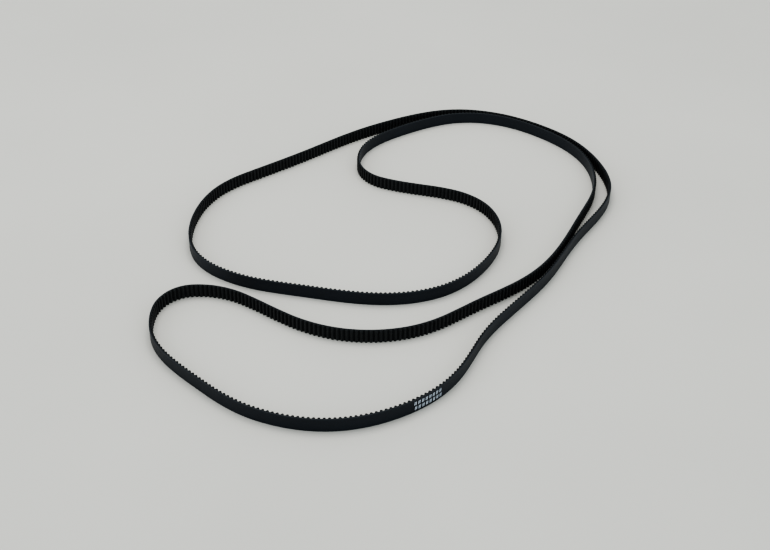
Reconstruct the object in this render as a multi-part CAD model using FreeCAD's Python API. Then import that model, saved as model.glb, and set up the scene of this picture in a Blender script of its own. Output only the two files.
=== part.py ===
import FreeCAD, Part
import math
import os
from FreeCAD import Vector

# Endless toothed timing belt lying loosely on one edge: 720 teeth at 2 mm pitch, 6 mm wide.
# All lengths in mm. z = 0 is the floor the belt stands on. The loop is travelled
# counter-clockwise, so its smooth back is to the right of travel and its teeth to the left.
# Offsets called n are measured outward (towards the back) from the pitch line.

# ---- driving dimensions -------------------------------------------------------------
WIDTH = 6.0             # belt width, floor to top edge
PITCH = 2.0             # tooth spacing along the pitch line
TEETH = 720             # teeth in the loop: 1440 mm pitch length
BACK = 0.376            # pitch line to back surface
LAND = 0.254            # pitch line to the fabric surface between teeth
FABRIC = 0.10           # thickness of the nylon tooth facing
CORD_R = 0.15           # radius of one tension cord strand
STRANDS = 6             # strands side by side, S and Z twist in turn
STRAND_STEP = 0.90      # spacing of the strands across the width

TIP_R = 0.555           # tooth: radius of the rounded tip
TIP_Y = 0.195           # tooth: tip centre below the land surface
FLANK_R = 1.0           # tooth: radius of each flank
FLANK_X = 0.40          # tooth: flank centre, across the tooth's middle line
ROOT_R = 0.15           # tooth: radius at the root, laid as a flat across the fillet's ends

MARK_START = 159.0      # printed mark: distance along the belt of its first block
MARK_ROWS = (3.4, 1.0)  # printed mark: bottom height of each row of plain blocks
MARK_BLOCKS = 8         # printed mark: blocks in a row
MARK_STEP = 1.8         # printed mark: spacing of the blocks
MARK_SIZE = (0.85, 1.6)  # printed mark: length and height of one block
MARK_INK = 0.03         # printed mark: ink thickness

STATION = 24.0          # spacing of the stations joined by pairs of arcs
PATCH_TEETH = 8         # teeth in one flat patch of the facing's sides

# Control points of the closed curve the pitch line follows: a uniform cubic B-spline.
ROUTE = [
    (-105.5, -44), (-106.5, -82), (-82, -103.5), (-62.5, -122.5), (-30, -131.5),
    (-2, -123), (23, -103), (32, -74), (50.5, -50), (68.5, -26),
    (80, 1.5), (99, 28), (108, 52), (99, 87.5), (83, 108),
    (56.5, 127), (26, 131.5), (-1.5, 118), (-26.5, 101), (-47.5, 80),
    (-70.5, 60), (-93.5, 41.5), (-101, 10), (-97, -21), (-70.5, -39),
    (-41, -43.5), (-11.5, -50.5), (19, -44.5), (39.5, -21.5), (50.5, 8),
    (38, 39), (7, 45.5), (-23.5, 54), (-23, 89.5), (2, 110),
    (28.5, 127), (57, 124.5), (84, 103), (98.5, 79), (98.5, 46.5),
    (85, 20), (73.5, -8), (57, -34), (32, -50.5), (10, -71.5),
    (-21.5, -76.5), (-48.5, -66), (-74.5, -42.5),
]


# ---- the pitch line -----------------------------------------------------------------
def spline(t):
    """Point and direction of the route at parameter t (one unit per control point)."""
    i, u = int(t), t - int(t)
    w = ((1 - u) ** 3 / 6, (3 * u ** 3 - 6 * u * u + 4) / 6,
         (-3 * u ** 3 + 3 * u * u + 3 * u + 1) / 6, u ** 3 / 6)
    d = (-(1 - u) ** 2 / 2, (3 * u * u - 4 * u) / 2, (-3 * u * u + 2 * u + 1) / 2, u * u / 2)
    c = [ROUTE[(i + m - 1) % len(ROUTE)] for m in range(4)]
    x, y = (sum(w[m] * c[m][a] for m in range(4)) for a in (0, 1))
    dx, dy = (sum(d[m] * c[m][a] for m in range(4)) for a in (0, 1))
    return Vector(x, y, 0), Vector(dx, dy, 0).normalize()


def stations():
    """Points and directions spaced evenly along the closed route."""
    fine = 50 * len(ROUTE)
    pts = [spline(k / 50.0)[0] for k in range(fine)] + [spline(0)[0]]
    run = [0.0]
    for a, b in zip(pts, pts[1:]):
        run.append(run[-1] + a.distanceToPoint(b))
    count = int(round(run[-1] / STATION))
    out, k = [], 0
    for j in range(count):
        s = run[-1] * j / count
        while run[k + 1] < s:
            k += 1
        out.append(spline((k + (s - run[k]) / (run[k + 1] - run[k])) / 50.0))
    return out


class Bend:
    """One circular arc of the pitch line, known by its ends and its start direction."""

    def __init__(self, start, heading, end):
        chord = end - start
        side = heading.x * chord.y - heading.y * chord.x
        self.start = start
        self.angle = math.atan2(heading.y, heading.x)
        self.curve = 2 * side / chord.dot(chord)
        self.length = 2 * math.asin(side / chord.Length) / self.curve

    def centre(self):
        return self.at(0, -1 / self.curve)

    def at(self, s, n=0.0, z=0.0):
        """Point at distance s along the arc, offset n outward, at height z."""
        a0, a1 = self.angle, self.angle + self.curve * s
        x = self.start.x + (math.sin(a1) - math.sin(a0)) / self.curve
        y = self.start.y - (math.cos(a1) - math.cos(a0)) / self.curve
        return Vector(x + n * math.sin(a1), y - n * math.cos(a1), z)

    def edge(self, n, z=0.0, s0=0.0, s1=None):
        s1 = self.length if s1 is None else s1
        return Part.Arc(self.at(s0, n, z), self.at((s0 + s1) / 2, n, z), self.at(s1, n, z)).toShape()

    def sweep(self, edge):
        """Turn a cross-section edge, drawn at the start of the arc, through the arc."""
        turn = math.degrees(self.curve * self.length)
        axis = Vector(0, 0, 1 if turn > 0 else -1)
        return edge.revolve(self.centre(), axis, abs(turn))


def pitch_line():
    """Chain of arcs through the stations, scaled to the pitch length and centred."""
    knots = stations()
    ends = []
    for (p0, t0), (p1, t1) in zip(knots, knots[1:] + knots[:1]):
        v, t = p1 - p0, t0 + t1
        slack = 2 * (1 - t0.dot(t1))
        vt = v.dot(t)
        if slack < 1e-9:
            d = v.dot(v) / (4 * v.dot(t1))
        else:
            d = (math.sqrt(vt * vt + slack * v.dot(v)) - vt) / slack
        joint = (p0 + p1 + (t0 - t1) * d) * 0.5
        middle = ((p1 - t1 * d) - (p0 + t0 * d)).normalize()
        ends += [(p0, t0, joint), (joint, middle, p1)]
    scale = PITCH * TEETH / sum(Bend(*e).length for e in ends)
    bends = [Bend(a * scale, h, b * scale) for a, h, b in ends]
    centre = Part.Wire([b.edge(BACK) for b in bends]).BoundBox.Center
    for b in bends:
        b.start -= centre
    return bends


BENDS = pitch_line()


def pieces(s0, s1):
    """The arcs between two distances along the belt, as (arc, local start, local end)."""
    run = 0.0
    for b in BENDS:
        lo, hi = max(s0 - run, 0.0), min(s1 - run, b.length)
        if hi - lo > 1e-6:
            yield b, lo, hi
        run += b.length


def frame_at(s):
    """Origin, direction along and direction outward of the pitch line at distance s."""
    b, lo, _ = next(pieces(s, s + 0.01))
    a = b.angle + b.curve * lo
    return b.at(lo), Vector(math.cos(a), math.sin(a), 0), Vector(math.sin(a), -math.cos(a), 0)


# ---- outlines seen from above -------------------------------------------------------
def loop(n, z=0.0):
    return Part.Wire([b.edge(n, z) for b in BENDS])


def tooth_points(depth):
    """Outline of one tooth, at a depth under the fabric surface: (x along, y inward)."""
    tip, flank, root = TIP_R - depth, FLANK_R - depth, ROOT_R + depth
    gap_x = math.sqrt((FLANK_R + ROOT_R) ** 2 - ROOT_R ** 2) - FLANK_X
    lean = math.atan2(TIP_Y, FLANK_X)

    def on(cx, cy, r, angle):
        return (cx + r * math.cos(angle), cy + r * math.sin(angle))

    # the flank arc of the right side is centred on the left, and the other way round
    low = math.atan2(ROOT_R, gap_x + FLANK_X)
    half = [on(gap_x, ROOT_R, root, -math.pi / 2),
            on(-FLANK_X, 0, flank, low),
            on(-FLANK_X, 0, flank, (low + lean) / 2),
            on(-FLANK_X, 0, flank, lean),
            on(0, TIP_Y, tip, (lean + math.pi / 2) / 2)]
    left = [(-x, y) for x, y in half]
    # root flat, flank, tip, flank, root flat: two points make a line and three an arc
    return [left[0:2], left[1:4], [left[3], (0, TIP_Y + tip), half[3]],
            [half[3], half[2], half[1]], [half[1], half[0]]]


def toothed_side(depth):
    """The toothed side at a depth: for each tooth its five edges and the land line after it."""
    outline = tooth_points(depth)
    teeth = []
    for i in range(TEETH):
        origin, along, out = frame_at((i + 0.5) * PITCH)
        teeth.append([[origin + along * x - out * (LAND + y) for x, y in run] for run in outline])
    groups = []
    for tooth, following in zip(teeth, teeth[1:] + teeth[:1]):
        edges = [Part.makeLine(*run) if len(run) == 2 else Part.Arc(*run).toShape() for run in tooth]
        groups.append(edges + [Part.makeLine(tooth[-1][-1], following[0][0])])
    return groups


# ---- solids -------------------------------------------------------------------------
def closed(faces):
    """Sew faces that meet edge to edge into one solid."""
    skin = Part.makeCompound(faces)
    skin.sewShape(1e-5)
    solid = Part.Solid(skin.Shells[0])
    if solid.Volume < 0:
        solid.reverse()
    return solid


def strand_heights():
    first = WIDTH / 2 - STRAND_STEP * (STRANDS - 1) / 2
    return [first + STRAND_STEP * k for k in range(STRANDS)]


def cord_wall(side):
    """Wall along the pitch line with a half-round groove for every strand.

    side is +1 where the grooves are sunk outward (backing), -1 inward (tooth rubber)."""
    faces = []
    for b in BENDS:
        z = 0.0
        section = []
        for h in strand_heights():
            section.append(Part.makeLine(b.at(0, 0, z), b.at(0, 0, h - CORD_R)))
            section.append(Part.Arc(b.at(0, 0, h - CORD_R), b.at(0, side * CORD_R, h),
                                    b.at(0, 0, h + CORD_R)).toShape())
            z = h + CORD_R
        section.append(Part.makeLine(b.at(0, 0, z), b.at(0, 0, WIDTH)))
        faces += [b.sweep(e) for e in section]
    return faces


def ring(outer, inner):
    """Flat face between two closed outlines."""
    return Part.makeFace([outer, inner], "Part::FaceMakerBullseye")


def lifted(shape, z):
    copy = shape.copy()
    copy.translate(Vector(0, 0, z))
    return copy


def make_backing():
    base = ring(loop(BACK), loop(0))
    wall = [b.edge(BACK).extrude(Vector(0, 0, WIDTH)) for b in BENDS]
    return closed([base, lifted(base, WIDTH)] + wall + cord_wall(1))


def end_point(edge):
    return edge.valueAt(edge.LastParameter)


def start_point(edge):
    return edge.valueAt(edge.FirstParameter)


def flat(edges):
    """Flat face inside one closed run of edges."""
    return Part.Face(Part.Wire(Part.__sortEdges__(edges)))


def upright(edges):
    return [e.extrude(Vector(0, 0, WIDTH)) for e in edges]


def both_ends(faces):
    return faces + [lifted(f, WIDTH) for f in faces]


def make_tooth_rubber():
    """Land and teeth. The flat sides are laid in one patch per arc of the pitch line, joined
    along short lines from the end of the arc to the start of the nearest tooth."""
    side = toothed_side(FABRIC)
    run, first_tooth = 0.0, []
    for b in BENDS:
        first_tooth.append(int(round(run / PITCH)))
        run += b.length
    patches = []
    for b, i, j in zip(BENDS, first_tooth, first_tooth[1:] + [TEETH]):
        inner = [e for tooth in side[i:j] for e in tooth]
        low, high = start_point(inner[0]), end_point(inner[-1])
        joints = [Part.makeLine(b.at(0), low), Part.makeLine(b.at(b.length), high)]
        patches.append(flat([b.edge(0)] + inner + joints))
    return closed(both_ends(patches) + upright([e for t in side for e in t]) + cord_wall(-1))


def make_tooth_facing():
    """Fabric over land and teeth, its flat sides in patches of a few teeth each."""
    bonded, free = toothed_side(FABRIC), toothed_side(0.0)
    patches = []
    for i in range(0, TEETH, PATCH_TEETH):
        back = [e for tooth in bonded[i:i + PATCH_TEETH] for e in tooth]
        face = [e for tooth in free[i:i + PATCH_TEETH] for e in tooth]
        joints = [Part.makeLine(start_point(back[0]), start_point(face[0])),
                  Part.makeLine(end_point(back[-1]), end_point(face[-1]))]
        patches.append(flat(back + face + joints))
    return closed(both_ends(patches) + upright([e for t in bonded + free for e in t]))


def make_strand(height):
    """One closed turn of cord at a fixed height."""
    faces = []
    for b in BENDS:
        across = b.at(0, 1) - b.at(0)
        for sign in (1, -1):
            half = Part.Arc(b.at(0, 0, height - CORD_R), b.at(0, 0, height) + across * sign * CORD_R,
                            b.at(0, 0, height + CORD_R))
            faces.append(b.sweep(half.toShape()))
    return closed(faces)


def make_block(s0, s1, bottom, height):
    """Thin curved block of ink lying on the back, between two distances along the belt."""
    spans = list(pieces(s0, s1))
    near = [b.edge(BACK, bottom, lo, hi) for b, lo, hi in spans]
    far = [b.edge(BACK + MARK_INK, bottom, lo, hi) for b, lo, hi in spans]
    ends = [Part.makeLine(b.at(s, BACK, bottom), b.at(s, BACK + MARK_INK, bottom))
            for b, s in ((spans[0][0], spans[0][1]), (spans[-1][0], spans[-1][2]))]
    outline = Part.Wire(Part.__sortEdges__(near + far + ends))
    return Part.Face(outline).extrude(Vector(0, 0, height))


def make_mark():
    length, height = MARK_SIZE
    starts = [MARK_START + MARK_STEP * k for k in range(MARK_BLOCKS)]
    return Part.makeCompound([make_block(s, s + length, z, height) for z in MARK_ROWS for s in starts])


def save(name, shape):
    print(name, "valid" if shape.isValid() else "NOT VALID", "volume %.2f" % shape.Volume)
    shape.exportStep("parts/%s.step" % name)


os.makedirs("parts", exist_ok=True)
strands = [make_strand(h) for h in strand_heights()]
save("size_mark", make_mark())
save("tension_cord_s", Part.makeCompound(strands[0::2]))
save("tension_cord_z", Part.makeCompound(strands[1::2]))
save("backing", make_backing())
save("tooth_rubber", make_tooth_rubber())
save("tooth_facing", make_tooth_facing())
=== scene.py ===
import math

import bpy
import numpy as np
from mathutils import Matrix, Vector


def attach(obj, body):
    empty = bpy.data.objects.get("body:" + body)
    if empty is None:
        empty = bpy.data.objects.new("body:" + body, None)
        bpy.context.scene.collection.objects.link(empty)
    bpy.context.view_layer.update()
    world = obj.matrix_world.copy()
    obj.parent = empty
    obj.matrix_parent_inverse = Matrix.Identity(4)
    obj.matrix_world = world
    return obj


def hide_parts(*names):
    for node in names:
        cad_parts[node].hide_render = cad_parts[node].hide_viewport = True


# An endless toothed belt lying loosely on its edge. Lengths below are in millimetres and are
# turned into metres when a mesh is made. s runs along the pitch line, n outward, z upward.
MM = 0.001
WIDTH = 6.0             # belt width, floor to top edge
PITCH = 2.0             # tooth spacing along the pitch line
TEETH = 720
LENGTH = PITCH * TEETH  # pitch length of the whole loop
BACK = 0.376            # pitch line to back surface
LAND = 0.254            # pitch line to the fabric surface between teeth
FABRIC = 0.10           # thickness of the nylon tooth facing
TIP_R, TIP_Y = 0.555, 0.195     # tooth tip: radius, and its centre below the land surface
FLANK_R, FLANK_X = 1.0, 0.40    # tooth flank: radius, and its centre across the middle line
ROOT_R = 0.15           # fillet between flank and land
STATION = 24.0          # spacing of the stations joined by pairs of arcs
SPAN_STEPS = 50         # steps per control point when the route's length is measured
RIM_STEP = 0.05         # step along the belt when the loop is centred

BACK_STEP = 0.5         # backing: spacing of its cross-sections along the belt
BACK_EDGE_R = 0.055     # backing: rounding of the slit edges
BACK_SKIM = 0.008       # backing: how far its surface lies under the nominal one
BACK_SWELL = 0.010      # backing: slow waviness of the ground surface
BACK_GHOST = 0.004      # backing: trace of the tooth spacing
HIGHLIGHT_RIM = 0.6          # backing: width of the painted highlight band along each edge
KNIFE_TOP, KNIFE_LOW = 0.018, 0.010     # slit waviness of the backing's two edges
KNIFE_TEETH = 0.014     # slit waviness of the tooth rubber's top edge
FACING_EDGE_R = 0.03    # facing: rounding of its cut edges
FACING_FRAY = 0.020     # facing: unevenness of its top edge

# Control points of the closed uniform cubic B-spline that the pitch line follows.
ROUTE = [
    (-105.5, -44), (-106.5, -82), (-82, -103.5), (-62.5, -122.5), (-30, -131.5),
    (-2, -123), (23, -103), (32, -74), (50.5, -50), (68.5, -26),
    (80, 1.5), (99, 28), (108, 52), (99, 87.5), (83, 108),
    (56.5, 127), (26, 131.5), (-1.5, 118), (-26.5, 101), (-47.5, 80),
    (-70.5, 60), (-93.5, 41.5), (-101, 10), (-97, -21), (-70.5, -39),
    (-41, -43.5), (-11.5, -50.5), (19, -44.5), (39.5, -21.5), (50.5, 8),
    (38, 39), (7, 45.5), (-23.5, 54), (-23, 89.5), (2, 110),
    (28.5, 127), (57, 124.5), (84, 103), (98.5, 79), (98.5, 46.5),
    (85, 20), (73.5, -8), (57, -34), (32, -50.5), (10, -71.5),
    (-21.5, -76.5), (-48.5, -66), (-74.5, -42.5),
]

MARK_START = 159.0      # printed mark: distance along the belt of its first block
MARK_ROWS = (3.4, 1.0)  # bottom height of each row
MARK_BLOCKS = 8
MARK_STEP = 1.8
MARK_HEIGHT = 1.6
MARK_TICKS = ((0.0, 0.30), (0.60, 0.30))  # place and length of the ticks in one block
MARK_ROW_SHIFT = 0.25   # how far the lower row is printed further along
MARK_LEAN = 0.10        # slant of the ticks, along per height
INK = 0.012             # ink surface above the nominal back
INK_RAGGED = 0.03       # unevenness of a tick's ends
INK_SWAY = 0.012        # unevenness of a tick's sides

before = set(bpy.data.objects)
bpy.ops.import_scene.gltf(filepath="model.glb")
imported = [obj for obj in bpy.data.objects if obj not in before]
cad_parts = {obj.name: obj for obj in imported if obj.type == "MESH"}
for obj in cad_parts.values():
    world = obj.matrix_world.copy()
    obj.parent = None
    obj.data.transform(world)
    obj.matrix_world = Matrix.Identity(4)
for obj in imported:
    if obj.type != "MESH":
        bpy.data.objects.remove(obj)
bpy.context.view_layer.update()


# ---- the pitch line -----------------------------------------------------------------
# Plan points and directions are complex numbers here: x along the real axis, y along the other.
def dot(a, b):
    return (a.conjugate() * b).real


def cross(a, b):
    return (a.conjugate() * b).imag


def spline(t):
    """Point and direction of the route at parameter t (one unit per control point)."""
    i, u = int(t), t - int(t)
    w = ((1 - u) ** 3 / 6, (3 * u ** 3 - 6 * u * u + 4) / 6,
         (-3 * u ** 3 + 3 * u * u + 3 * u + 1) / 6, u ** 3 / 6)
    d = (-(1 - u) ** 2 / 2, (3 * u * u - 4 * u) / 2, (-3 * u * u + 2 * u + 1) / 2, u * u / 2)
    c = [complex(*ROUTE[(i + m - 1) % len(ROUTE)]) for m in range(4)]
    heading = sum(a * b for a, b in zip(d, c))
    return sum(a * b for a, b in zip(w, c)), heading / abs(heading)


def stations():
    """Points and directions spaced evenly along the closed route."""
    fine = SPAN_STEPS * len(ROUTE)
    pts = [spline(k / SPAN_STEPS)[0] for k in range(fine)] + [spline(0)[0]]
    run = [0.0]
    for a, b in zip(pts, pts[1:]):
        run.append(run[-1] + abs(b - a))
    count = int(round(run[-1] / STATION))
    out, k = [], 0
    for j in range(count):
        s = run[-1] * j / count
        while run[k + 1] < s:
            k += 1
        out.append(spline((k + (s - run[k]) / (run[k + 1] - run[k])) / SPAN_STEPS))
    return out


def pitch_line():
    """Chain of arcs through the stations: starts, start angles, curvatures, distances run.

    It is the CAD's own pitch line, scaled to the pitch length and centred on the back."""
    knots = stations()
    arcs = []
    for (p0, t0), (p1, t1) in zip(knots, knots[1:] + knots[:1]):
        v, t = p1 - p0, t0 + t1
        slack, vt = 2 * (1 - dot(t0, t1)), dot(v, t)
        d = (math.sqrt(vt * vt + slack * dot(v, v)) - vt) / slack
        joint = (p0 + p1 + (t0 - t1) * d) / 2
        middle = (p1 - t1 * d) - (p0 + t0 * d)
        for start, heading, end in ((p0, t0, joint), (joint, middle / abs(middle), p1)):
            chord = end - start
            side = cross(heading, chord)
            curve = 2 * side / dot(chord, chord)
            length = 2 * math.asin(side / abs(chord)) / curve
            arcs.append((start, math.atan2(heading.imag, heading.real), curve, length))
    start, angle, curve, length = (np.array(c) for c in zip(*arcs))
    scale = LENGTH / length.sum()
    run = np.concatenate([[0], np.cumsum(length * scale)])
    return start * scale, angle, curve / scale, run


START, ANGLE, CURVE, RUN = pitch_line()


def along(s):
    """Position and direction of the pitch line at distances s, as complex numbers."""
    s = np.mod(s, LENGTH)
    i = np.clip(np.searchsorted(RUN, s, side="right") - 1, 0, len(START) - 1)
    turned = ANGLE[i] + CURVE[i] * (s - RUN[i])
    heading = np.exp(1j * turned)
    return START[i] - 1j * (heading - np.exp(1j * ANGLE[i])) / CURVE[i], heading


def rim_centre():
    """Centre of the box round the back surface, seen from above."""
    place, heading = along(np.arange(0, LENGTH, RIM_STEP))
    rim = place - 1j * heading * BACK
    return complex(rim.real.min() + rim.real.max(), rim.imag.min() + rim.imag.max()) / 2


START = START - rim_centre()


def line_at(s):
    """Position, direction along and direction outward of the pitch line at distances s."""
    place, heading = along(s)
    out = -1j * heading
    return tuple(np.stack([c.real, c.imag], -1) for c in (place, heading, out))


def waves(s, seed, count, lo, hi):
    """Smooth closed noise along the belt, -1 to 1: sines of wavelengths lo to hi that fit it."""
    rng = np.random.default_rng(seed)
    total = np.zeros_like(s)
    for _ in range(count):
        k = round(LENGTH / rng.uniform(lo, hi))
        total += np.sin(2 * np.pi * k * s / LENGTH + rng.uniform(0, 6.28))
    spread = math.sqrt(count / 2.0)
    return np.clip(total / spread / 1.6, -1, 1)


def lift(s, seed, count, lo, hi):
    """The same noise from 0 to 1."""
    return 0.5 + 0.5 * waves(s, seed, count, lo, hi)


# ---- meshes -------------------------------------------------------------------------
def wrapped(grid, along_end, round_end, i, j):
    """Values of a grid at the four corners of each quad, with a full turn's value at the seams."""
    rows, cols = grid.shape
    i1, j1 = (i + 1) % rows, (j + 1) % cols
    near, far = grid[i, j], grid[i1, j]
    far_next, near_next = grid[i1, j1], grid[i, j1]
    if along_end is not None:
        far = np.where(i1 == 0, along_end, far)
        far_next = np.where(i1 == 0, along_end, far_next)
    if round_end is not None:
        far_next = np.where(j1 == 0, round_end, far_next)
        near_next = np.where(j1 == 0, round_end, near_next)
    return np.stack([near, far, far_next, near_next], -1)


def grid_mesh(name, xyz, u, v, u_end, v_end, wear_and_highlight=None, close_along=True):
    """Closed skin from a grid: rows run along the belt, columns round the section.

    xyz is rows x columns x 3 in millimetres; u and v give each point's place on the
    unrolled surface, and u_end and v_end what they come to after a full turn."""
    rows, cols = xyz.shape[:2]
    i = np.arange(rows if close_along else rows - 1)[:, None]
    j = np.arange(cols)[None, :]
    number = np.arange(rows * cols).reshape(rows, cols)
    quads = wrapped(number, None, None, i, j).reshape(-1, 4)
    caps = [] if close_along else [number[0], number[-1][::-1]]

    mesh = bpy.data.meshes.new(name)
    mesh.vertices.add(rows * cols)
    mesh.vertices.foreach_set("co", (xyz.reshape(-1) * MM).astype(np.float32))
    index = np.concatenate([quads.reshape(-1)] + caps)
    mesh.loops.add(len(index))
    mesh.loops.foreach_set("vertex_index", index.astype(np.int32))
    sizes = np.array([4] * len(quads) + [cols] * len(caps))
    starts = np.concatenate([[0], np.cumsum(sizes)[:-1]])
    mesh.polygons.add(len(sizes))
    mesh.polygons.foreach_set("loop_start", starts.astype(np.int32))
    mesh.polygons.foreach_set("loop_total", sizes.astype(np.int32))
    mesh.polygons.foreach_set("use_smooth", np.ones(len(sizes), bool))

    u, v = np.asarray(u, float), np.asarray(v, float)
    corners = np.stack([wrapped(u, u_end, None, i, j), wrapped(v, None, v_end, i, j)], -1)
    flat = [corners.reshape(-1, 2)]
    flat += [np.stack([u.reshape(-1)[c], v.reshape(-1)[c]], -1) for c in caps]
    layer = mesh.uv_layers.new(name="belt")
    layer.data.foreach_set("uv", (np.concatenate(flat) * MM).astype(np.float32).reshape(-1))
    # The extra point attribute holds the tooth-tip wear on the facing and the painted edge
    # highlight on the backing.
    if wear_and_highlight is not None:
        layer = mesh.attributes.new("wear_and_highlight", "FLOAT", "POINT")
        layer.data.foreach_set("value", wear_and_highlight.reshape(-1).astype(np.float32))
    mesh.update()
    mesh.validate()
    obj = bpy.data.objects.new(name, mesh)
    bpy.context.scene.collection.objects.link(obj)
    return obj


def swept(s, section):
    """Grid of points for section points (n, z) carried along the pitch line."""
    p, _, out = line_at(s)
    n, z = section[..., 0], section[..., 1]
    xy = p[:, None, :] + out[:, None, :] * n[..., None]
    return np.concatenate([xy, np.broadcast_to(z[..., None], xy.shape[:2] + (1,))], -1)


def around(section):
    """Distances of the section points from the first, round the section, and the whole way."""
    step = np.linalg.norm(np.roll(section, -1, 0) - section, axis=1)
    return np.concatenate([[0], np.cumsum(step)[:-1]]), step.sum()


def back_section():
    """Backing seen end-on: rounded slit edges on the outside, flat against the tooth layer."""
    # The second list is painted highlight along the slit edges: full on the rounded edges, fading
    # inward across the rim width, 0.6 on the slit faces.
    r, pts, tip_wear_and_highlit_rim = BACK_EDGE_R, [], []
    quarter = [math.pi / 2 * k / 4 for k in range(5)]
    for a in quarter:
        pts.append((BACK - r + r * math.sin(a), r - r * math.cos(a)))
        tip_wear_and_highlit_rim.append(1.0)
    for z in np.linspace(0, WIDTH, 13)[1:-1]:
        pts.append((BACK, z))
        tip_wear_and_highlit_rim.append(max(0.0, 1 - min(z, WIDTH - z) / HIGHLIGHT_RIM))
    for a in quarter:
        pts.append((BACK - r + r * math.cos(a), WIDTH - r + r * math.sin(a)))
        tip_wear_and_highlit_rim.append(1.0)
    for n, z in ((0.2, WIDTH), (0.1, WIDTH), (0.0, WIDTH), (0.0, 0.0), (0.1, 0.0), (0.2, 0.0)):
        pts.append((n, z))
        tip_wear_and_highlit_rim.append(0.6)
    return np.array(pts), np.array(tip_wear_and_highlit_rim)


def make_backing():
    """Ground back, from the pitch line out, a little wavy where it was slit and ground."""
    s = np.arange(0, LENGTH, BACK_STEP)
    base, tip_wear_and_highlit_rim = back_section()
    v, v_end = around(base)
    sec = np.repeat(base[None], len(s), 0)
    top, low = base[:, 1] > WIDTH - 0.2, base[:, 1] < 0.2
    sec[:, top, 1] -= (KNIFE_TOP * lift(s, 3, 24, 3.0, 40.0))[:, None]
    sec[:, low, 1] += (KNIFE_LOW * lift(s, 4, 24, 3.0, 40.0))[:, None]
    outer = base[:, 0] > BACK - 0.06
    belly = np.sin(np.pi * np.clip(base[:, 1] / WIDTH, 0, 1))[outer]
    sec[:, outer, 0] += (BACK_SWELL * waves(s, 5, 30, 6.0, 60.0))[:, None] * belly - BACK_SKIM
    ghost = 0.5 - 0.5 * np.cos(2 * np.pi * s / PITCH)
    sec[:, outer, 0] -= (BACK_GHOST * ghost)[:, None] * belly
    u = np.repeat(s[:, None], len(base), 1)
    # The last argument carries the painted edge highlight into the material.
    return grid_mesh("belt_back", swept(s, sec), u, np.repeat(v[None], len(s), 0), LENGTH, v_end,
                     np.repeat(tip_wear_and_highlit_rim[None], len(s), 0))


def tooth_profile(depth):
    """Points of one tooth at a depth under the fabric surface: x along, y inward."""
    tip, flank, root = TIP_R - depth, FLANK_R - depth, ROOT_R + depth
    gap_x = math.sqrt((FLANK_R + ROOT_R) ** 2 - ROOT_R ** 2) - FLANK_X
    lean = math.atan2(TIP_Y, FLANK_X)
    low = math.atan2(ROOT_R, gap_x + FLANK_X)
    half = []
    for a in np.linspace(-math.pi / 2, -math.pi + low, 4):
        half.append((gap_x + root * math.cos(a), ROOT_R + root * math.sin(a)))
    for a in np.linspace(low, lean, 3)[1:]:
        half.append((-FLANK_X + flank * math.cos(a), flank * math.sin(a)))
    for a in np.linspace(lean, math.pi / 2, 4)[1:]:
        half.append((tip * math.cos(a), TIP_Y + tip * math.sin(a)))
    left = [(-x, y) for x, y in half]
    return np.array(left + half[:-1][::-1])


def toothed_column(depth):
    """Plan points of the whole toothed side at a depth, with distance along the belt."""
    prof = tooth_profile(depth)
    centre = (np.arange(TEETH) + 0.5) * PITCH
    p, t, out = line_at(centre)
    xy = p[:, None] + t[:, None] * prof[None, :, :1] - out[:, None] * (LAND + prof[None, :, 1:])
    s = centre[:, None] + prof[None, :, 0]
    return xy.reshape(-1, 2), s.reshape(-1), np.tile(prof[:, 1], TEETH)


def make_tooth_rubber():
    """Land and tooth cores, from the pitch line in to the facing."""
    inner, s, _ = toothed_column(FABRIC)
    p = line_at(s)[0]
    columns = []
    for share, z in ((0, 0), (0, WIDTH), (0.35, WIDTH), (0.7, WIDTH), (1, WIDTH),
                     (1, 0), (0.7, 0), (0.35, 0)):
        xy = p * (1 - share) + inner * share
        columns.append(np.column_stack([xy, np.full(len(s), float(z))]))
    xyz = np.stack(columns, 1)
    xyz[:, 1:5, 2] -= (KNIFE_TEETH * lift(s, 3, 24, 3.0, 40.0))[:, None]
    step = np.linalg.norm(np.roll(xyz, -1, 1) - xyz, axis=2)
    v = np.concatenate([np.zeros((len(s), 1)), np.cumsum(step, 1)[:, :-1]], 1)
    u = np.repeat(s[:, None], xyz.shape[1], 1)
    return grid_mesh("belt_teeth", xyz, u, v, LENGTH + s[0], v[:, -1:] + step[:, -1:])


def make_facing():
    """Fabric skin over every tooth and land, a little rounded and uneven where it is cut."""
    r = FACING_EDGE_R
    layout = [(FABRIC, 0.0), (FABRIC, WIDTH), (r, WIDTH)]
    layout += [(0.0, z) for z in np.linspace(WIDTH - r, r, 4)] + [(r, 0.0)]
    plan = {d: toothed_column(d) for d in (0.0, r, FABRIC)}
    surface, s, height = plan[0.0]
    step = np.linalg.norm(np.roll(surface, -1, 0) - surface, axis=1)
    run = np.concatenate([[0], np.cumsum(step)[:-1]])
    xyz = np.stack([np.column_stack([plan[d][0], np.full(len(s), float(z))]) for d, z in layout], 1)
    top = [j for j, (_, z) in enumerate(layout) if z > WIDTH - 0.1]
    xyz[:, top, 2] -= (FACING_FRAY * lift(s, 11, 40, 0.9, 9.0))[:, None]
    v = np.array([z if d == 0 else (-0.1 if z < 1 else WIDTH + 0.1) for d, z in layout])
    u = np.repeat(run[:, None], len(layout), 1)
    tip_wear_and_highlit_rim = np.repeat(np.clip((height - 0.55) / 0.2, 0, 1)[:, None], len(layout), 1)
    return grid_mesh("belt_facing", xyz, u, np.repeat(v[None], len(s), 0), step.sum(),
                     v[0] + 0.01, tip_wear_and_highlit_rim)


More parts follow.
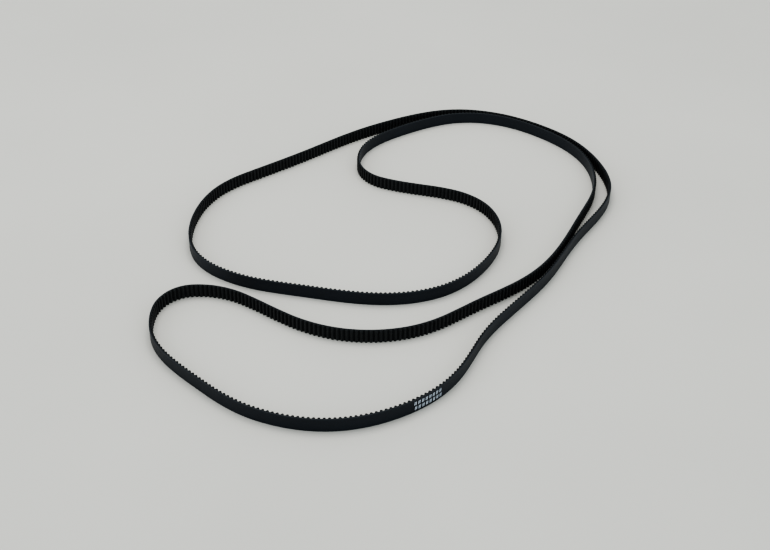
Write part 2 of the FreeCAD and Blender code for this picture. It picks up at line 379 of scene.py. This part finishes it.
def tick(s0, length, bottom, height, rng):
    """One short bar of ink with slightly ragged ends, leaning a little along the belt."""
    s = np.linspace(s0, s0 + length, 5)
    zs = np.linspace(bottom, bottom + height, 9)
    lo, hi = BACK - INK, BACK + INK
    rim = np.array([(hi, z) for z in zs] + [(lo, z) for z in zs[::-1]])
    sec = np.repeat(rim[None], len(s), 0)
    sec[:, :, 1] += rng.uniform(-INK_RAGGED, INK_RAGGED, (len(s), 1))
    sway = INK_SWAY * np.sin(7.0 * sec[:, :, 1] + rng.uniform(0, 6.28))
    place, _, out = line_at(s[:, None] + MARK_LEAN * (sec[:, :, 1] - bottom) + sway)
    xyz = np.concatenate([place + out * sec[..., :1], sec[..., 1:]], -1)
    u = np.repeat(s[:, None], len(rim), 1)
    v = np.repeat(rim[None, :, 1], len(s), 0)
    return grid_mesh("tick", xyz, u, v, 0, bottom, close_along=False)


def make_mark():
    """Two rows of plain ticks of ink where the real belt has its printed size."""
    parts = []
    rng = np.random.default_rng(7)
    for row, bottom in enumerate(MARK_ROWS):
        for k in range(MARK_BLOCKS):
            s0 = MARK_START + k * MARK_STEP + row * MARK_ROW_SHIFT
            for place, width in MARK_TICKS:
                parts.append(tick(s0 + place, width, bottom, MARK_HEIGHT, rng))
    bpy.ops.object.select_all(action="DESELECT")
    for o in parts:
        o.select_set(True)
    bpy.context.view_layer.objects.active = parts[0]
    bpy.ops.object.join()
    parts[0].name = parts[0].data.name = "belt_mark"
    return parts[0]


# ---- materials ----------------------------------------------------------------------
class Shader:
    """Small helper that adds and links shader nodes."""

    def __init__(self, name):
        self.mat = bpy.data.materials.new(name)
        self.mat.use_nodes = True
        self.tree = self.mat.node_tree
        self.bsdf = self.tree.nodes["Principled BSDF"]

    def node(self, kind, inputs=None, **props):
        n = self.tree.nodes.new(kind)
        for key, value in props.items():
            setattr(n, key, value)
        for key, value in (inputs or {}).items():
            self.put(n.inputs[key], value)
        return n

    def put(self, socket, value):
        if isinstance(value, bpy.types.NodeSocket):
            self.tree.links.new(value, socket)
        else:
            socket.default_value = value

    def math(self, op, a, b=0.0, c=0.0):
        n = self.node("ShaderNodeMath", operation=op)
        for socket, value in zip(n.inputs, (a, b, c)):
            self.put(socket, value)
        return n.outputs[0]

    def place(self):
        """Position on the unrolled belt in millimetres: along, across."""
        uv = self.node("ShaderNodeUVMap", uv_map="belt")
        return self.scaled(uv.outputs[0], (1000, 1000, 1000))

    def scaled(self, vector, scale):
        return self.node("ShaderNodeVectorMath", {0: vector, 1: scale},
                         operation="MULTIPLY").outputs[0]

    def noise(self, vector, scale, detail=4.0, rough=0.55):
        n = self.node("ShaderNodeTexNoise", {"Vector": vector, "Scale": scale, "Detail": detail,
                                             "Roughness": rough})
        return n.outputs["Fac"]

    def ramp(self, fac, stops):
        n = self.node("ShaderNodeValToRGB", {"Fac": fac})
        while len(n.color_ramp.elements) < len(stops):
            n.color_ramp.elements.new(0.5)
        for e, (pos, col) in zip(n.color_ramp.elements, stops):
            e.position = pos
            e.color = (*col, 1) if len(col) == 3 else col
        return n.outputs["Color"]

    def mix(self, fac, a, b, mode="MIX"):
        n = self.node("ShaderNodeMix", data_type="RGBA", blend_type=mode)
        self.put(n.inputs[0], fac)
        self.put(n.inputs[6], a)
        self.put(n.inputs[7], b)
        return n.outputs[2]

    def bump(self, height, strength, distance, normal=None):
        inputs = {"Height": height, "Strength": strength, "Distance": distance}
        n = self.node("ShaderNodeBump", inputs)
        if normal is not None:
            self.put(n.inputs["Normal"], normal)
        return n.outputs["Normal"]

    def finish(self, **sockets):
        for key, value in sockets.items():
            self.put(self.bsdf.inputs[key.replace("_", " ")], value)
        return self.mat


def grey(v, blue=0.0):
    return (v * (1 - blue), v, v * (1 + blue))


def back_rubber():
    """Ground rubber back: grain, grinding streaks along the belt, mottling, specks, and a painted
    highlight along the rims.
    """
    m = Shader("ground_back_rubber")
    at = m.place()
    obj = m.node("ShaderNodeTexCoord").outputs["Object"]
    grain = m.noise(at, 14.0, 6.0, 0.7)
    streak = m.noise(m.scaled(at, (0.22, 5.0, 1)), 1.0, 6.0, 0.65)
    mottle = m.noise(m.scaled(at, (1.3, 2.6, 1)), 1.0, 5.0, 0.7)
    cloud = m.noise(obj, 45.0, 3.0, 0.5)
    fine = m.noise(obj, 9000.0, 3.0, 0.6)
    tone = m.ramp(cloud, [(0.3, (0.0052, 0.0076, 0.0122)),
                          (0.7, (0.0080, 0.0116, 0.0184))])
    tone = m.mix(m.math("MULTIPLY", grain, 0.45), tone, (0.0140, 0.0188, 0.0270, 1))
    uneven = m.ramp(mottle, [(0.30, grey(0.62)), (0.50, grey(1.0)), (0.72, grey(1.55))])
    tone = m.mix(1.0, tone, uneven, "MULTIPLY")
    lines = m.ramp(streak, [(0.36, grey(0.80)), (0.62, grey(1.25))])
    tone = m.mix(1.0, tone, lines, "MULTIPLY")
    speck = m.math("GREATER_THAN", m.noise(at, 4.2, 1.0, 0.5), 0.735)
    tone = m.mix(m.math("MULTIPLY", speck, 0.55), tone, (0.050, 0.052, 0.055, 1))
    # Painted highlight: the rims are lightened towards grey-blue, broken up by the grain.
    wear_and_highlight = m.node("ShaderNodeAttribute", attribute_name="wear_and_highlight").outputs["Fac"]
    rim_highlight = m.math("MULTIPLY", wear_and_highlight, m.math("SMOOTH_MIN", m.math("MULTIPLY", grain, 1.2), 0.9, 0.1))
    tone = m.mix(m.math("MULTIPLY", rim_highlight, 0.30), tone, (*grey(0.034, 0.12), 1))
    rough = m.math("ADD", m.math("MULTIPLY", m.math("ADD", streak, mottle), 0.24), 0.30)
    normal = m.bump(streak, 0.6, 0.00004)
    normal = m.bump(mottle, 0.4, 0.00003, normal)
    normal = m.bump(grain, 0.5, 0.00003, normal)
    normal = m.bump(fine, 0.3, 0.00001, normal)
    return m.finish(Base_Color=tone, Roughness=rough, Normal=normal, Specular_IOR_Level=0.34)


def cut_rubber():
    """Slit edge of the tooth layer: knife lines along the belt and torn grain."""
    m = Shader("slit_tooth_rubber")
    at = m.place()
    knife = m.noise(m.scaled(at, (0.5, 26.0, 1)), 1.0, 4.0, 0.6)
    grain = m.noise(at, 11.0, 6.0, 0.75)
    tone = m.ramp(grain, [(0.25, grey(0.0045, 0.10)), (0.8, grey(0.0120, 0.10))])
    tone = m.mix(m.math("MULTIPLY", knife, 0.25), tone, (*grey(0.0200, 0.08), 1))
    normal = m.bump(knife, 0.5, 0.00003)
    normal = m.bump(grain, 0.6, 0.00004, normal)
    rough = m.math("ADD", m.math("MULTIPLY", grain, 0.2), 0.55)
    return m.finish(Base_Color=tone, Roughness=rough, Normal=normal, Specular_IOR_Level=0.2)


def weave():
    """Black nylon twill bonded over the teeth, polished a little on the tooth tips."""
    m = Shader("nylon_tooth_fabric")
    at = m.place()
    split = m.node("ShaderNodeSeparateXYZ", {0: at})
    u, v = split.outputs[0], split.outputs[1]
    yarn = 0.17
    wobble = m.math("MULTIPLY", m.noise(at, 1.6, 3.0, 0.5), 0.10)
    a = m.math("DIVIDE", m.math("ADD", u, wobble), yarn)
    b = m.math("DIVIDE", m.math("ADD", v, wobble), yarn)
    warp = m.math("ABSOLUTE", m.math("SINE", m.math("MULTIPLY", a, math.pi)))
    weft = m.math("ABSOLUTE", m.math("SINE", m.math("MULTIPLY", b, math.pi)))
    step = m.math("ADD", m.math("FLOOR", a), m.math("FLOOR", b))
    over = m.math("GREATER_THAN", m.math("MODULO", m.math("ADD", step, 30000.0), 3.0), 0.5)
    under = m.math("MULTIPLY", m.math("SUBTRACT", 1.0, over), m.math("MULTIPLY", weft, 0.8))
    height = m.math("ADD", m.math("MULTIPLY", over, warp), under)
    fibre = m.noise(m.scaled(at, (40.0, 12.0, 1)), 1.0, 3.0, 0.6)
    cloud = m.noise(at, 0.09, 4.0, 0.55)
    tone = m.ramp(height, [(0.1, grey(0.0024, 0.10)), (0.9, grey(0.0118, 0.16))])
    tone = m.mix(m.math("MULTIPLY", cloud, 0.4), tone, (*grey(0.018, 0.05), 1))
    tone = m.mix(m.math("MULTIPLY", fibre, 0.25), tone, (*grey(0.022, 0.0), 1))
    # On the facing this attribute holds only the wear of the tooth tips.
    wear_and_highlight = m.node("ShaderNodeAttribute", attribute_name="wear_and_highlight").outputs["Fac"]
    tone = m.mix(m.math("MULTIPLY", wear_and_highlight, 0.35), tone, (*grey(0.028, 0.03), 1))
    rough = m.math("SUBTRACT", 0.78, m.math("MULTIPLY", wear_and_highlight, 0.22))
    normal = m.bump(height, 0.7, 0.00004)
    normal = m.bump(fibre, 0.25, 0.00001, normal)
    return m.finish(Base_Color=tone, Roughness=rough, Normal=normal, Specular_IOR_Level=0.26,
                    Sheen_Weight=0.08, Sheen_Roughness=0.5)


def cord_yarn(name, hand):
    """Twisted glass yarn: slanting filaments, S or Z by the sign of hand."""
    m = Shader(name)
    obj = m.node("ShaderNodeTexCoord").outputs["Object"]
    split = m.node("ShaderNodeSeparateXYZ", {0: obj})
    across = m.math("MULTIPLY", m.math("ADD", split.outputs[0], split.outputs[1]), 4000.0 * hand)
    slant = m.math("ADD", m.math("MULTIPLY", split.outputs[2], 9000.0), across)
    ply = m.math("ABSOLUTE", m.math("SINE", slant))
    hair = m.noise(obj, 16000.0, 3.0, 0.6)
    tone = m.ramp(ply, [(0.0, (0.32, 0.29, 0.21)), (1.0, (0.66, 0.63, 0.53))])
    tone = m.mix(m.math("MULTIPLY", hair, 0.4), tone, (0.80, 0.79, 0.72, 1))
    normal = m.bump(ply, 0.6, 0.00004)
    return m.finish(Base_Color=tone, Roughness=0.38, Normal=normal)


def white_ink():
    """Thin white stamping ink, patchy where it didn't take on the ground rubber."""
    m = Shader("stamped_white_ink")
    at = m.place()
    patch = m.noise(at, 5.5, 5.0, 0.65)
    grain = m.noise(at, 26.0, 4.0, 0.7)
    tone = m.ramp(patch, [(0.28, (0.16, 0.19, 0.24)), (0.42, (0.58, 0.65, 0.76)),
                          (0.60, (0.82, 0.89, 0.98))])
    tone = m.mix(m.math("MULTIPLY", grain, 0.20), tone, (0.40, 0.44, 0.51, 1))
    rough = m.math("ADD", m.math("MULTIPLY", grain, 0.2), 0.5)
    return m.finish(Base_Color=tone, Roughness=rough, Normal=m.bump(grain, 0.3, 0.00001))


def pale_floor():
    """Plain pale studio floor."""
    m = Shader("pale_floor")
    obj = m.node("ShaderNodeTexCoord").outputs["Object"]
    cloud = m.noise(obj, 6.0, 3.0, 0.5)
    tone = m.ramp(cloud, [(0.3, (0.585, 0.560, 0.515)), (0.7, (0.615, 0.589, 0.542))])
    return m.finish(Base_Color=tone, Roughness=0.6, Specular_IOR_Level=0.25)


# ---- the pieces ---------------------------------------------------------------------
def dress(obj, material, nodes):
    """Give a piece its material and its body, and hide the CAD node it stands for."""
    obj.data.materials.clear()
    obj.data.materials.append(material)
    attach(obj, "root")
    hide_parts(*nodes)


dress(make_backing(), back_rubber(), ["backing"])
dress(make_tooth_rubber(), cut_rubber(), ["tooth_rubber"])
dress(make_facing(), weave(), ["tooth_facing"])
dress(make_mark(), white_ink(), ["size_mark"])
for node, hand in (("tension_cord_s", 1), ("tension_cord_z", -1)):
    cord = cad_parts[node]
    cord.data.materials.clear()
    cord.data.materials.append(cord_yarn("glass_" + node, hand))


# ---- floor, light and camera --------------------------------------------------------
def add_floor():
    mesh = bpy.data.meshes.new("floor")
    half = 3.0
    mesh.from_pydata([(-half, -half, 0), (half, -half, 0), (half, half, 0), (-half, half, 0)],
                     [], [(0, 1, 2, 3)])
    floor = bpy.data.objects.new("floor", mesh)
    bpy.context.scene.collection.objects.link(floor)
    mesh.materials.append(pale_floor())


def add_light(name, place, target, size, power, colour=(1, 1, 1)):
    data = bpy.data.lights.new(name, "AREA")
    data.shape = "RECTANGLE"
    data.size, data.size_y = size
    data.energy = power
    data.color = colour
    lamp = bpy.data.objects.new(name, data)
    lamp.location = place
    lamp.rotation_euler = (Vector(target) - Vector(place)).to_track_quat("-Z", "Y").to_euler()
    bpy.context.scene.collection.objects.link(lamp)


def add_world(colour, strength):
    world = bpy.data.worlds.new("studio")
    world.use_nodes = True
    back = world.node_tree.nodes["Background"]
    back.inputs[0].default_value = (*colour, 1)
    back.inputs[1].default_value = strength
    bpy.context.scene.world = world


def add_camera():
    """Camera at the photograph's angle, looking along +Y and down; distances are in metres."""
    elevation, roll, distance = math.radians(34.94), math.radians(1.16), 0.5022
    target = Vector((-0.00749, -0.02603, 0))
    forward = Vector((0, math.cos(elevation), -math.sin(elevation)))
    up = Vector((0, math.sin(elevation), math.cos(elevation)))
    right = Vector((1, 0, 0))
    r = right * math.cos(roll) + up * math.sin(roll)
    u = up * math.cos(roll) - right * math.sin(roll)
    data = bpy.data.cameras.new("camera")
    focal_px, picture_px = 1116.0, 770.0
    data.sensor_width = 36.0
    data.lens = focal_px / picture_px * data.sensor_width
    data.clip_start, data.clip_end = 0.01, 20.0
    camera = bpy.data.objects.new("camera", data)
    turn = Matrix((r, u, -forward)).transposed()
    camera.matrix_world = Matrix.Translation(target - forward * distance) @ turn.to_4x4()
    bpy.context.scene.collection.objects.link(camera)
    bpy.context.scene.camera = camera


MIDDLE = (0, 0, 0)
add_floor()
bpy.context.scene.view_settings.look = "AgX - High Contrast"
add_world((0.88, 0.97, 1.0), 0.62)
add_light("overhead", (-0.10, 0.25, 1.10), MIDDLE, (1.0, 0.8), 7.5)
add_light("window_right", (0.70, -0.80, 0.55), MIDDLE, (0.7, 0.7), 2.0, (0.84, 0.93, 1.0))
add_light("window_left", (-1.05, -0.35, 0.60), MIDDLE, (0.6, 0.6), 1.8, (0.88, 0.94, 1.0))
add_camera()

bpy.context.view_layer.update()
